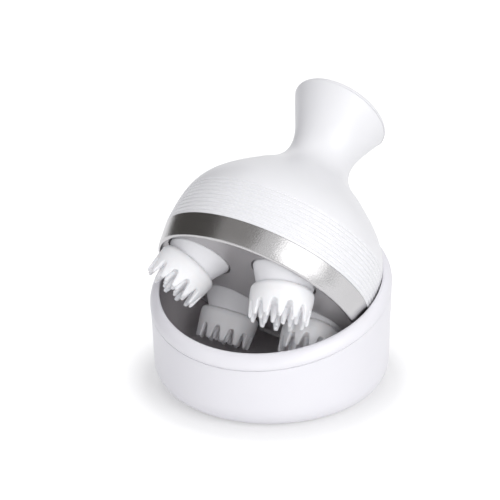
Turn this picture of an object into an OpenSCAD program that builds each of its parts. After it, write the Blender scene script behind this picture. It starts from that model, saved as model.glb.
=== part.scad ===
// Electric scalp massager lying in its storage cup.
// Millimetres, +Z up, the origin is where the cup's middle meets the table.
// The cup's slanted rim is highest towards +Y.

/* [Storage cup] */
// Outer radius of the cup at its rim
cup_r = 57; // [55.5:0.1:60]
// Height of the slanted rim above the table, at the middle
cup_h = 52.8; // [50:0.1:56]
// Slant of the rim from level
rim_slant = 15.7; // [12:0.1:16.5]
// Width of the rim, from the outer wall to the lip's inner edge
rim_w = 4.6; // [3.6:0.1:4.7]
// Draft of the outer wall, as the amount by which the foot is narrower
cup_draft = 0.8; // [0.4:0.1:1.5]
// Radius of the round between the wall and the underside
cup_round = 12.7; // [8:0.1:14]
// Wall thickness of the outer shell
cup_wall = 2.6; // [2:0.1:2.8]
// Thickness of the outer shell's floor
cup_floor = 2.8; // [2.4:0.1:3]
// Upright height of the separate rim ring
ring_h = 5.4; // [4.5:0.1:7]
// Width of the flat land on top of the rim
lip_land = 1.5; // [1:0.1:1.8]
// Wall thickness of the inner tray
tray_wall = 1.2; // [1:0.1:1.3]
// Height of the inner tray's floor above the table
tray_floor_z = 6; // [5.6:0.1:6.3]
// Radius of the round at the foot of the tray's wall
tray_round = 7; // [4:0.5:8]
// Radius of one rubber foot
foot_r = 5; // [4:0.1:6]
// Distance of the feet from the middle
foot_circle = 36; // [30:0.5:39]
// Number of outer feet, each with a screw above it
foot_count = 4; // [3:1:6]

/* [How the massager lies] */
// Place of the middle of the band's lower edge, X
lie_x = -2.9; // [-3.2:0.1:-2.6]
// Place of the middle of the band's lower edge, Y
lie_y = -13.6; // [-13.9:0.1:-13.3]
// Place of the middle of the band's lower edge, Z
lie_z = 49.1; // [48.8:0.1:49.6]
// Lean of the massager's axis from upright
lie_tilt = 49.3; // [49:0.1:49.6]
// Turn of the lean about the vertical
lie_turn = 75.1; // [74.5:0.1:75.7]
// Turn of the massager about its own axis
lie_spin = 92.3; // [90:0.1:95]

/* [Body] */
// Outer radius of the metal band at its upper edge
band_top_r = 51.9; // [51.4:0.1:52.2]
// Amount by which the band is narrower at its lower edge
band_taper = 1.6; // [1.4:0.1:2]
// Height of the metal band
band_h = 11.3; // [10.5:0.1:12]
// Wall of the metal band at its lower edge
band_wall = 1.4; // [1.2:0.1:1.6]
// Wall of the body shell
body_wall = 2.2; // [1.8:0.1:2.6]
// Height at which the dome turns into the neck
shoulder_z = 56.9; // [56:0.1:58]
// Radius there
shoulder_r = 30.6; // [29.5:0.1:31.5]
// Fall of the radius for each unit of height there
shoulder_fall = 1.13; // [1.05:0.01:1.2]
// Height of the narrowest place of the neck
neck_z = 77; // [76:0.1:78]
// Radius of the neck at its narrowest
neck_r = 15.8; // [15.2:0.1:16.5]
// Height of the handle's top edge, on the axis
top_z = 101.4; // [100:0.1:103]
// Outer radius of the handle at its top edge
top_r = 24.5; // [23.5:0.1:25.5]
// Widening of the radius for each unit of height there
flare = 0.34; // [0.28:0.01:0.4]
// Slant of the handle's top
top_slant = 6.95; // [5:0.05:8]
// Direction towards which the top faces
top_turn = -116.4; // [-125:0.1:-105]
// Radius of the top's rounded edge
top_round = 2.7; // [2.4:0.1:3]
// Number of fine grooves round the dome
groove_count = 9; // [3:1:9]
// Spacing of the grooves
groove_pitch = 2.15; // [2:0.05:2.3]
// Depth of a groove
groove_depth = 0.3; // [0.2:0.05:0.5]
// Width of a groove
groove_w = 0.9; // [0.6:0.1:1.2]

/* [Massage heads] */
// Radius of the circle on which the heads stand, as a share of the band's
head_share = 0.6118; // [0.608:0.001:0.615]
// Depth of the face plate behind the band's lower edge
plate_recess = 2.15; // [1.9:0.05:2.4]
// Thickness of the face plate
plate_t = 2; // [1.6:0.1:2]
// Radius of a hub where it leaves the plate, as a share of the heads' circle
hub_share = 0.463; // [0.45:0.001:0.47]
// Gap round a hub in the face plate
hub_gap = 1; // [0.8:0.1:1.1]
// Taper of a hub, from its axis
hub_taper = 33; // [30:0.5:35]
// Height of a hub on its axis
hub_h = 5.5; // [5.2:0.1:5.8]
// Slant of a hub's lower face, which tilts the claw
claw_tilt = 15.5; // [13:0.5:16]
// Outer radius of a claw at its shoulder, as a share of the heads' circle
claw_share = 0.4504; // [0.44:0.001:0.46]
// Length of a claw with its teeth
claw_len = 15.6; // [15:0.1:16]
// Length of the closed part of a claw above the teeth
claw_crown = 9.4; // [8.8:0.1:9.8]
// Wall of a claw
claw_wall = 2.8; // [2.4:0.1:3.2]
// Number of teeth in the outer ring of a claw
teeth_out = 12; // [8:1:14]
// Number of fingers in the middle ring of a claw
teeth_mid = 8; // [5:1:8]
// Number of fingers in the inner ring of a claw
teeth_in = 4; // [3:1:4]
// Radius of a finger at its root
finger_r = 1.7; // [1.4:0.1:1.8]
// Radius of a tooth's or finger's tip
tip_r = 0.95; // [0.8:0.05:1.1]
// Direction in which the front left claw leans
lean_fl = 10; // [0:1:359]
// Direction in which the front right claw leans
lean_fr = 206; // [0:1:359]
// Direction in which the back right claw leans
lean_br = 148; // [0:1:359]
// Direction in which the back left claw leans
lean_bl = 266; // [0:1:359]

/* [Drive] */
// Teeth of the gear on each head's shaft
head_teeth = 28; // [24:1:28]
// Teeth of the middle gear that turns the four heads
sun_teeth = 35; // [35:1:38]
// Face width of the head gears and the middle gear
head_gear_t = 4; // [3:0.1:4.2]
// Distance of the reduction gear from the middle
reducer_x = 21; // [20.8:0.1:21.2]
// Teeth of the small pinions in the reduction
small_teeth = 12; // [12:1:14]
// Teeth of the large wheels in the reduction
large_teeth = 38; // [34:1:38]
// Face width of the reduction gears
wheel_t = 2.5; // [2:0.1:2.6]
// Play between meshing flanks
backlash = 0.24; // [0.2:0.01:0.3]
// Radius of a head's steel shaft
shaft_r = 3; // [2.5:0.1:3.2]
// Radius of the fixed pins that carry the middle and reduction gears
pin_r = 1.5; // [1.3:0.1:2]
// Radius of the motor
motor_r = 12; // [10:0.5:14]
// Length of the motor
motor_len = 25; // [20:0.5:25.5]
// Radius of the motor's shaft
motor_shaft_r = 1; // [0.8:0.1:1.2]
// Radius of the battery cell
cell_r = 7; // [6:0.1:7.2]
// Length of the battery cell
cell_len = 43; // [35:0.5:43]
// Running clearance, on the radius, of a shaft in its bush
run_gap = 0.04; // [0.02:0.01:0.08]

/* [Power button] */
// Radius of the button
button_r = 5.5; // [4.5:0.1:6]
// Height by which the button stands proud
button_proud = 0.8; // [0.6:0.1:1.2]
// Travel of the button
button_travel = 0.5; // [0.3:0.1:0.6]

/* [Hidden] */

$fn = 72;
fit_gap = 0.1;        // between fixed pieces that fit into each other
step_gap = 0.15;      // between fixed pieces that stand on each other
big = 200;            // size of a cutting block

// Storage cup
rim_rise = tan(rim_slant);
lip_r = cup_r - rim_w;                    // inner radius of the rim's lip
seam_z = cup_h - ring_h;
seam_gap = 0.25;
cup_under = 0.3;                          // clear height under the shell
cup_inner_r = cup_r - cup_wall;
foot_sink = 0.9;
cup_screw_r = 1.3;
cup_screw_head_r = 2.4;
cup_screw_head_t = 1.1;
tray_r = lip_r + 0.35;                    // inner radius of the tray
tray_floor_t = 1.4;
tray_boss_r = 4;
tray_lip_drop = 1.7;                      // depth of the rim's lip over the tray's edge
tray_out_r = tray_r + tray_wall;

// Body, in the massager's own frame: +Z along its axis, from the claws to the handle
band_low_r = band_top_r - band_taper;
groove_low_z = band_h + 2;
spigot_z = 5;                             // height of the step on which the shell stands
spigot_r = band_top_r - 2;
spigot_in_r = spigot_r - 1.4;
dome_pull = 25.6;                         // lengths of the curve's handles
shoulder_pull_low = 22.7;
shoulder_pull_high = 6.3;
neck_pull_low = 10.8;
neck_pull_high = 9.1;
flare_pull = 13.5;
flare_end_z = top_z + 5;
curve_steps = 10;
cap_r = top_r + 0.1;                      // the slanted cut is a little wider than top_r
cap_seat = 0.1;
cap_t = 2.3;
cap_skirt_h = 2;
cap_skirt_r = top_r - 1.06 * body_wall - flare * cap_skirt_h - 0.25;
top_shift = flare * tan(top_slant) * top_r;

// Gearbox levels
tray_z = plate_recess + plate_t + step_gap;
deck_t = 2;
gear_z = tray_z + deck_t + 0.95;
wheel_z = gear_z + head_gear_t + 0.7;
drive_z = wheel_z + wheel_t + 0.7;
lid_z = drive_z + wheel_t + 1;
lid_top = lid_z + deck_t;
deck_r = spigot_in_r - 0.2;
pillar_circle = band_top_r - 9.9;
pillar_r = 3.6;
body_screw_r = 1.5;
body_screw_head_r = 2.8;
bush_r = shaft_r + 2;
bush_flange_r = shaft_r + 3.4;
bush_flange_t = 0.7;
gear_boss_r = shaft_r + 1.8;
head_circle = head_share * band_top_r;
head_module = 2 * head_circle / (head_teeth + sun_teeth);
wheel_module = 2 * reducer_x / (small_teeth + large_teeth);
motor_z = lid_top + 0.05;
motor_top = motor_z + motor_len;
motor_bore_h = 0.72 * motor_len;
motor_screw_circle = 0.7 * motor_r;
holder_z = motor_top + step_gap;
holder_r = cell_r + 1.6;
board_z = lid_top + 2;
socket_r = 4.5;
socket_z = board_z + 5;
socket_turn = -60;
socket_start = band_top_r - 14;

// Heads
hub_r = hub_share * head_circle;
claw_r = claw_share * head_circle;
HEADS = [["front_left", 45, lean_fl], ["front_right", 135, lean_fr],
    ["back_right", 225, lean_br], ["back_left", 315, lean_bl]];
hub_top = plate_recess + 1.7;
hub_slope = tan(hub_taper);
seat_thin = (hub_r - hub_slope * hub_h) / (1 - hub_slope * tan(claw_tilt));
seat_thick = (hub_r - hub_slope * hub_h) / (1 + hub_slope * tan(claw_tilt));
seat_x = (seat_thin - seat_thick) / 2;
seat_depth = hub_h - seat_x * tan(claw_tilt);
stud_r = 8;
stud_h = 4;
shaft_low = -1.6;
head_screw_r = 1.5;
head_screw_head_r = 2.7;

// Power button, in the frame of the slanted top
cap_top = top_round;
cap_round = cap_top - cap_seat;
switch_w = 6.2;
switch_top = -2.8;
switch_h = 3.4;
plunger_r = 1.7;
board_t = 1.6;
cap_post_circle = cap_skirt_r - 10.4;

// A point on a cubic curve through a and d, and its direction there
function curve_at(a, b, c, d, t) =
    pow(1 - t, 3) * a + 3 * pow(1 - t, 2) * t * b + 3 * (1 - t) * t * t * c + pow(t, 3) * d;
function curve_dir(a, b, c, d, t) =
    3 * pow(1 - t, 2) * (b - a) + 6 * (1 - t) * t * (c - b) + 3 * t * t * (d - c);
function unit(v) = v / norm(v);
function inward(v) = [-v[1], v[0]] / norm(v);

// Outline of the dome, neck and flare: pairs of radius and height, moved inward by an inset
shoulder_dir = unit([-shoulder_fall, 1]);
flare_dir = unit([flare, 1]);
flare_end_r = top_r + flare * (flare_end_z - top_z);
CURVES = [
    [[band_top_r, band_h], [band_top_r + 0.5, band_h + dome_pull],
        [shoulder_r, shoulder_z] - shoulder_pull_low * shoulder_dir, [shoulder_r, shoulder_z]],
    [[shoulder_r, shoulder_z], [shoulder_r, shoulder_z] + shoulder_pull_high * shoulder_dir,
        [neck_r, neck_z - neck_pull_low], [neck_r, neck_z]],
    [[neck_r, neck_z], [neck_r, neck_z + neck_pull_high],
        [flare_end_r, flare_end_z] - flare_pull * flare_dir, [flare_end_r, flare_end_z]]];
function outline(inset) = [for (i = [0:2]) for (k = [(i == 0 ? 0 : 1):curve_steps])
    let (c = CURVES[i], t = k / curve_steps)
    curve_at(c[0], c[1], c[2], c[3], t) + inset * inward(curve_dir(c[0], c[1], c[2], c[3], t))];
// Radius of the outer dome at a height inside the first curve
function dome_r_at(z, lo = 0, hi = 1, n = 24) =
    let (c = CURVES[0], t = (lo + hi) / 2, p = curve_at(c[0], c[1], c[2], c[3], t))
    n == 0 ? p[0] : p[1] < z ? dome_r_at(z, t, hi, n - 1) : dome_r_at(z, lo, t, n - 1);

// Turn that brings gear b into mesh with gear a, when b lies in direction dir from a
function mesh_turn(teeth_a, turn_a, teeth_b, dir) =
    dir + 180 - ((turn_a - dir) * teeth_a / 360 + 0.5) * 360 / teeth_b;

// ---- frames ----

module lying() {
    translate([lie_x, lie_y, lie_z])
        rotate([0, 0, lie_turn]) rotate([0, lie_tilt, 0]) rotate([0, 0, lie_spin])
            children();
}

module on_top() {
    translate([0, 0, top_z]) rotate([0, 0, top_turn]) rotate([0, top_slant, 0])
        translate([-top_shift, 0, 0]) children();
}

module at_head(i) {
    rotate([0, 0, HEADS[i][1]]) translate([head_circle, 0, 0])
        rotate([0, 0, -HEADS[i][1]]) children();
}

module at_each_head() {
    for (i = [0:3]) at_head(i) children();
}

module at_pillars() {
    for (a = [0:90:270]) rotate([0, 0, a]) translate([pillar_circle, 0, 0]) children();
}

module at_feet() {
    for (i = [0:foot_count - 1]) rotate([0, 0, 45 + i * 360 / foot_count])
        translate([foot_circle, 0, 0]) children();
}

// Everything under the slanted plane that crosses the cup's axis at a height
module under_slant(h) {
    intersection() {
        children();
        translate([0, 0, h]) rotate([rim_slant, 0, 0])
            translate([-big / 2, -big / 2, -big]) cube([big, big, big]);
    }
}

// A frame on a hub's slanted lower face, +Z towards the claw's tips
module on_seat(i) {
    at_head(i) rotate([0, 0, HEADS[i][2]])
        translate([seat_x, 0, plate_recess - seat_depth]) rotate([0, 180 - claw_tilt, 0])
            children();
}

// ---- gears ----

// A gear's outline with involute flanks, a tooth on +X
module gear_outline(teeth, size, play) {
    pitch_r = teeth * size / 2;
    base_r = pitch_r * cos(20);
    tip = pitch_r + 0.85 * size;
    root = pitch_r - 1.2 * size;
    half = 90 / teeth - play / pitch_r * 90 / PI + tan(20) * 180 / PI - 20;
    start = max(base_r, root);
    flank = [for (k = [0:5]) let (r = start + (tip - start) * k / 5,
        roll = acos(base_r / r), turn = half - (tan(roll) * 180 / PI - roll)) [r, turn]];
    polygon([for (n = [0:teeth - 1]) let (mid = n * 360 / teeth) each concat(
        [root * [cos(mid - flank[0][1]), sin(mid - flank[0][1])]],
        [for (f = flank) f[0] * [cos(mid - f[1]), sin(mid - f[1])]],
        [for (k = [5:-1:0]) flank[k][0] * [cos(mid + flank[k][1]), sin(mid + flank[k][1])]],
        [root * [cos(mid + flank[0][1]), sin(mid + flank[0][1])]])]);
}

module gear(teeth, size, thick) {
    linear_extrude(thick) gear_outline(teeth, size, backlash / 2);
}

module ring(r_in, r_out, h) {
    difference() {
        cylinder(r = r_out, h = h);
        translate([0, 0, -1]) cylinder(r = r_in, h = h + 2);
    }
}

// ---- storage cup ----

module cup_shell() {
    foot_r_out = cup_r - cup_draft;
    color("white") difference() {
        under_slant(seam_z - seam_gap) rotate_extrude() polygon(concat(
            [[0, cup_under], [foot_r_out - cup_round, cup_under]],
            [for (a = [-80:10:0]) [foot_r_out - cup_round + cup_round * cos(a),
                cup_round + cup_under + cup_round * sin(a)]],
            [[cup_r, cup_h], [cup_r, big], [0, big]]));
        rotate_extrude() polygon(concat(
            [[0, cup_under + cup_floor], [cup_inner_r - cup_round + 1.5, cup_under + cup_floor]],
            [for (a = [-75:15:0]) [cup_inner_r - cup_round + 1.5 + (cup_round - 1.5) * cos(a),
                cup_under + cup_floor + (cup_round - 1.5) * (1 + sin(a))]],
            [[cup_inner_r, big], [0, big]]));
        translate([0, 0, -1]) cylinder(r = foot_r + fit_gap, h = 1 + cup_under + foot_sink);
        at_feet() {
            translate([0, 0, -1]) cylinder(r = foot_r + fit_gap, h = 1 + cup_under + foot_sink);
            cylinder(r = cup_screw_head_r + 0.2, h = cup_under + foot_sink + cup_screw_head_t + 0.1);
            cylinder(r = cup_screw_r + 0.2, h = big / 2);
        }
    }
}

// Section of the rim ring: pairs of radius and height over the slanted rim plane
function ring_section() =
    let (round_r = cup_r - lip_r - lip_land - 0.5, round_h = ring_h * 0.8)
    concat([[tray_out_r + step_gap, -ring_h], [cup_r, -ring_h]],
        [for (k = [0:6]) [cup_r - round_r * (1 - cos(k * 15)), -round_h * (1 - sin(k * 15))]],
        [[lip_r + 0.5, 0], [lip_r + 0.15, -0.15], [lip_r, -0.5], [lip_r, -tray_lip_drop],
            [tray_out_r + step_gap, -tray_lip_drop]]);

module rim_ring() {
    turns = 96;
    section = ring_section();
    count = len(section);
    color("white") polyhedron(
        points = [for (k = [0:turns - 1]) let (a = k * 360 / turns) for (p = section)
            [p[0] * cos(a), p[0] * sin(a), cup_h + p[1] + rim_rise * p[0] * sin(a)]],
        faces = [for (k = [0:turns - 1]) let (next = (k + 1) % turns) for (j = [0:count - 1])
            let (up = (j + 1) % count) each [
                [k * count + j, k * count + up, next * count + up],
                [k * count + j, next * count + up, next * count + j]]]);
}

module inner_tray() {
    low = tray_floor_z - tray_floor_t;
    out_round = tray_round + tray_wall;
    color("silver") difference() {
        union() {
            under_slant(cup_h - tray_lip_drop - step_gap) rotate_extrude() polygon(concat(
                [[0, tray_floor_z], [0, low]],
                [for (a = [-90:15:0]) [tray_out_r - out_round + out_round * cos(a),
                    low + out_round * (1 + sin(a))]],
                [[tray_out_r, big], [tray_r, big]],
                [for (a = [0:-15:-90]) [tray_r - tray_round + tray_round * cos(a),
                    tray_floor_z + tray_round * (1 + sin(a))]]));
            at_feet() translate([0, 0, cup_under + cup_floor + fit_gap])
                cylinder(r = tray_boss_r, h = low - cup_under - cup_floor + 0.1);
        }
        at_feet() cylinder(r = cup_screw_r, h = tray_floor_z - 0.5);
    }
}

module rubber_feet() {
    color("dimgray") {
        cylinder(r = foot_r, h = cup_under + foot_sink - 0.02);
        at_feet() cylinder(r = foot_r, h = cup_under + foot_sink - 0.02);
    }
}

module cup_screws() {
    head_z = cup_under + foot_sink + 0.05;
    color("gray") at_feet() {
        translate([0, 0, head_z]) cylinder(r = cup_screw_head_r, h = cup_screw_head_t);
        translate([0, 0, head_z]) cylinder(r = cup_screw_r, h = tray_floor_z - 0.7 - head_z);
    }
}

// ---- body ----

module under_top(h) {
    intersection() {
        children();
        on_top() translate([-big / 2, -big / 2, h - big]) cube([big, big, big]);
    }
}

// Outline of the dome with its grooves, from the band's upper edge
function grooved_outline() =
    let (last_z = groove_low_z + (groove_count - 1) * groove_pitch + groove_w)
    concat([[band_top_r, band_h]],
        [for (k = [0:groove_count - 1]) let (z = groove_low_z + k * groove_pitch, half = groove_w / 2)
            each [[dome_r_at(z - half), z - half], [dome_r_at(z) - groove_depth, z - half * 0.4],
                [dome_r_at(z) - groove_depth, z + half * 0.4], [dome_r_at(z + half), z + half]]],
        [for (p = outline(0)) if (p[1] > last_z) p]);

// The body's solid outer form
module body_form() {
    rotate_extrude() polygon(concat([[0, band_h]], grooved_outline(), [[0, flare_end_z]]));
}

// The space that reaches halfway into the body's wall
module body_core() {
    rotate_extrude() polygon(concat([[0, band_h]], outline(body_wall / 2), [[0, flare_end_z]]));
}

module body_cavity() {
    rotate_extrude() polygon(concat([[0, 0], [spigot_in_r, 0], [spigot_in_r, band_h + 2]],
        [for (p = outline(body_wall)) if (p[1] > band_h + 3) p], [[0, flare_end_z + 1]]));
}

module body_shell() {
    color("white") lying() difference() {
        union() {
            difference() {
                union() {
                    under_top(0) body_form();
                    translate([0, 0, spigot_z + step_gap])
                        cylinder(r = spigot_r, h = band_h - spigot_z);
                }
                body_cavity();
            }
            intersection() {
                at_pillars() translate([0, 0, lid_top + 0.1]) cylinder(r = pillar_r, h = 30);
                body_core();
            }
        }
        at_pillars() cylinder(r = body_screw_r, h = lid_top + 9);
        at_socket() cylinder(r = socket_r + fit_gap, h = big);
    }
}

module at_socket() {
    rotate([0, 0, socket_turn]) translate([socket_start, 0, socket_z]) rotate([0, 90, 0])
        children();
}

module handle_cap() {
    under = cap_top - cap_t;
    color("white") lying() on_top() difference() {
        union() {
            difference() {
                union() {
                    rotate_extrude() polygon(concat([[0, cap_seat], [cap_r, cap_seat]],
                        [for (a = [0:15:90]) [cap_r - cap_round + cap_round * cos(a),
                            cap_seat + cap_round * sin(a)]], [[0, cap_top]]));
                    translate([0, 0, -cap_skirt_h])
                        cylinder(r = cap_skirt_r, h = cap_skirt_h + 0.5);
                }
                translate([0, 0, under - 30]) cylinder(r = cap_skirt_r - 2, h = 30);
            }
            at_cap_posts() cylinder(r = 1.6, h = under + 0.1 - switch_top + switch_h);
        }
        translate([0, 0, -30]) cylinder(r = button_r + fit_gap, h = 60);
    }
}

module at_cap_posts() {
    for (a = [30:120:270]) rotate([0, 0, a])
        translate([cap_post_circle, 0, switch_top - switch_h]) children();
}

module switch_board() {
    color("darkgreen") lying() on_top()
        translate([0, 0, switch_top - switch_h - board_t]) cylinder(r = cap_post_circle + 2, h = board_t);
}

module switch_housing() {
    color("dimgray") lying() on_top() difference() {
        translate([-switch_w / 2, -switch_w / 2, switch_top - switch_h])
            cube([switch_w, switch_w, switch_h]);
        translate([0, 0, switch_top - 2.6]) cylinder(r = plunger_r + 0.05, h = 10);
    }
}

module trim_band() {
    low_in_r = band_low_r - band_wall;
    color("silver") lying() rotate_extrude() polygon([
        [low_in_r + 0.2, 0], [band_low_r - 0.5, 0], [band_low_r - 0.15, 0.15], [band_low_r, 0.5],
        [band_top_r, band_h - 0.05], [spigot_r + fit_gap, band_h - 0.05],
        [spigot_r + fit_gap, spigot_z], [low_in_r, spigot_z], [low_in_r, 0.2]]);
}

module face_plate() {
    color("silver") lying() translate([0, 0, plate_recess]) difference() {
        cylinder(r = band_low_r - band_wall - fit_gap, h = plate_t);
        at_each_head() translate([0, 0, -1]) cylinder(r = hub_r + hub_gap, h = plate_t + 2);
    }
}

// ---- gearbox ----

module gear_tray() {
    color("gainsboro") lying() difference() {
        union() {
            translate([0, 0, tray_z]) cylinder(r = deck_r, h = deck_t);
            translate([0, 0, tray_z]) ring(deck_r - 1, deck_r, lid_z - tray_z - 0.2);
            at_pillars() translate([0, 0, tray_z])
                cylinder(r = pillar_r, h = lid_z - tray_z - 0.05);
        }
        at_pillars() cylinder(r = body_screw_r + fit_gap, h = big / 2);
        at_pillars() cylinder(r = body_screw_head_r + 0.2, h = tray_z + 1.7);
        at_each_head() cylinder(r = bush_r + 0.02, h = big / 2);
        cylinder(r = pin_r + 0.02, h = big / 2);
        translate([reducer_x, 0, 0]) cylinder(r = pin_r + 0.02, h = big / 2);
    }
}

module at_standoffs() {
    for (a = [22.5:90:330]) rotate([0, 0, a]) translate([30, 0, 0]) children();
}

module gear_lid() {
    color("gainsboro") lying() difference() {
        union() {
            translate([0, 0, lid_z]) cylinder(r = deck_r, h = deck_t);
            at_standoffs() translate([0, 0, lid_z]) cylinder(r = 2, h = board_z - lid_z);
            at_standoffs() translate([0, 0, lid_z]) cylinder(r = 1, h = board_z - lid_z + board_t);
        }
        at_pillars() cylinder(r = body_screw_r + fit_gap, h = big / 2);
        at_each_head() cylinder(r = bush_r + 0.02, h = big / 2);
        translate([reducer_x, 0, 0]) cylinder(r = pin_r + 0.02, h = big / 2);
        cylinder(r = 3.1, h = big / 2);
        at_motor_screws() cylinder(r = 1.35, h = big / 2);
    }
}

module lower_bushes() {
    color("goldenrod") lying() at_each_head() translate([0, 0, tray_z]) {
        ring(shaft_r + run_gap, bush_r, deck_t);
        translate([0, 0, deck_t]) ring(shaft_r + run_gap, bush_flange_r, bush_flange_t);
    }
}

module upper_bushes() {
    color("goldenrod") lying() at_each_head() translate([0, 0, lid_z]) {
        ring(shaft_r + run_gap, bush_r, deck_t);
        translate([0, 0, -bush_flange_t]) ring(shaft_r + run_gap, bush_flange_r, bush_flange_t);
    }
}

module shaft_seals() {
    color("black") lying() at_each_head() translate([0, 0, tray_z - 1.35])
        ring(shaft_r + run_gap, shaft_r + 2.4, 1.3);
}

module gear_pins() {
    color("gray") lying() translate([0, 0, tray_z]) {
        cylinder(r = pin_r, h = wheel_z + wheel_t + 0.2 - tray_z);
        translate([reducer_x, 0, 0]) cylinder(r = pin_r, h = lid_top - tray_z);
    }
}

module body_screws() {
    color("gray") lying() at_pillars() translate([0, 0, tray_z + 0.05]) {
        cylinder(r = body_screw_head_r, h = 1.6);
        cylinder(r = body_screw_r - 0.02, h = lid_top + 8 - tray_z);
    }
}

module middle_gear() {
    color("white") lying() difference() {
        union() {
            translate([0, 0, gear_z]) gear(sun_teeth, head_module, head_gear_t);
            translate([0, 0, gear_z]) cylinder(r = 8, h = wheel_z + wheel_t - gear_z);
            translate([0, 0, wheel_z]) gear(large_teeth, wheel_module, wheel_t);
        }
        cylinder(r = pin_r + run_gap, h = big);
    }
}

module reduction_gear() {
    small_turn = mesh_turn(large_teeth, 0, small_teeth, 0);
    color("white") lying() translate([reducer_x, 0, 0]) difference() {
        union() {
            translate([0, 0, wheel_z]) rotate([0, 0, small_turn])
                gear(small_teeth, wheel_module, drive_z - wheel_z + 0.5);
            translate([0, 0, drive_z]) gear(large_teeth, wheel_module, wheel_t);
        }
        cylinder(r = pin_r + run_gap, h = big);
    }
}

// ---- motor, battery and boards ----

module at_motor_screws() {
    for (a = [90, 270]) rotate([0, 0, a]) translate([motor_screw_circle, 0, 0]) children();
}

module motor_can() {
    color("silver") lying() difference() {
        union() {
            translate([0, 0, motor_z]) cylinder(r = motor_r, h = motor_len);
            translate([0, 0, motor_z - 1.5]) cylinder(r = 3, h = 2);
        }
        cylinder(r = motor_shaft_r + run_gap, h = motor_z + motor_bore_h);
        at_motor_screws() cylinder(r = 1.25, h = motor_z + 3);
    }
}

module motor_screws() {
    color("gray") lying() at_motor_screws() {
        translate([0, 0, lid_z - 1]) cylinder(r = 2.2, h = 0.95);
        translate([0, 0, lid_z - 1]) cylinder(r = 1.23, h = deck_t + 3.8);
    }
}

module motor_shaft() {
    color("gray") lying() translate([0, 0, drive_z])
        cylinder(r = motor_shaft_r, h = motor_z + motor_bore_h - 0.5 - drive_z);
}

module motor_pinion() {
    turn = mesh_turn(large_teeth, 0, small_teeth, 180);
    color("goldenrod") lying() translate([0, 0, drive_z]) difference() {
        rotate([0, 0, turn]) gear(small_teeth, wheel_module, wheel_t);
        translate([0, 0, -1]) cylinder(r = motor_shaft_r + 0.01, h = wheel_t + 2);
    }
}

module battery_holder() {
    fin_r = neck_r - body_wall - fit_gap;
    color("dimgray") lying() difference() {
        translate([0, 0, holder_z]) union() {
            cylinder(r = motor_r, h = 1.2);
            cylinder(r = holder_r, h = 1.2 + cell_len * 0.8);
            for (a = [0:120:240]) rotate([0, 0, a])
                translate([0, -0.8, neck_z - 5 - holder_z]) cube([fin_r - 0.05, 1.6, 9]);
        }
        translate([0, 0, holder_z + 1.2]) cylinder(r = cell_r + 0.05, h = big);
    }
}

module battery_cell() {
    color("royalblue") lying() translate([0, 0, holder_z + 1.25]) {
        cylinder(r = cell_r, h = cell_len - 1);
        cylinder(r = 2.5, h = cell_len);
    }
}

module main_board() {
    color("darkgreen") lying() {
        difference() {
            translate([0, 0, board_z]) ring(motor_r + 2, pillar_circle - pillar_r - 2, board_t);
            at_standoffs() cylinder(r = 1.05, h = big);
        }
        rotate([0, 0, 100]) translate([22, -4, board_z + board_t - 0.1]) cube([8, 8, 2]);
        rotate([0, 0, 150]) translate([25, 0, board_z + board_t - 0.1]) cylinder(r = 4, h = 9);
        rotate([0, 0, 200]) translate([22, -3, board_z + board_t - 0.1]) cube([6, 10, 5]);
        rotate([0, 0, 300]) translate([24, -3, board_z + board_t - 0.1]) cube([9, 6, 1.5]);
    }
}

module charge_socket() {
    face = dome_r_at(socket_z) - body_wall - 1.8 - socket_start;
    color("dimgray") lying() at_socket() {
        difference() {
            union() {
                cylinder(r = socket_r - 0.3, h = face);
                translate([0, 0, face - 1.5]) cylinder(r = socket_r + 1.3, h = 1.5);
            }
            translate([0, 0, face - 7]) cylinder(r = 2.8, h = 8);
        }
        translate([0, 0, face - 7.5]) cylinder(r = 1, h = 6);
    }
}

module charge_cover() {
    color("whitesmoke") lying() at_socket()
        translate([0, 0, dome_r_at(socket_z) - body_wall - 1.6 - socket_start])
            cylinder(r = socket_r, h = body_wall + 1.2);
}

// ---- power button ----

module power_button() {
    low = -0.9;
    color("whitesmoke") lying() on_top() {
        translate([0, 0, low]) cylinder(r = button_r + 1.1, h = 1);
        translate([0, 0, low]) cylinder(r = button_r, h = cap_top + button_proud - 0.4 - low);
        translate([0, 0, cap_top + button_proud - 0.4])
            cylinder(r1 = button_r, r2 = button_r - 0.6, h = 0.4);
    }
}

module switch_plunger() {
    color("black") lying() on_top() translate([0, 0, switch_top - 1.8])
        cylinder(r = plunger_r, h = -0.95 - switch_top + 1.8);
}

// ---- heads ----

module head_shaft(i) {
    color("lightgray") lying() at_head(i) difference() {
        translate([0, 0, shaft_low]) cylinder(r = shaft_r, h = lid_top - 0.2 - shaft_low);
        translate([0, 0, shaft_low - 1]) cylinder(r = head_screw_r, h = 8);
    }
}

module head_gear(i) {
    turn = mesh_turn(sun_teeth, 0, head_teeth, HEADS[i][1]);
    color("white") lying() at_head(i) difference() {
        union() {
            translate([0, 0, gear_z]) rotate([0, 0, turn])
                gear(head_teeth, head_module, head_gear_t);
            translate([0, 0, gear_z])
                cylinder(r = gear_boss_r, h = lid_z - bush_flange_t - 0.3 - gear_z);
        }
        cylinder(r = shaft_r + 0.01, h = big);
    }
}

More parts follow.
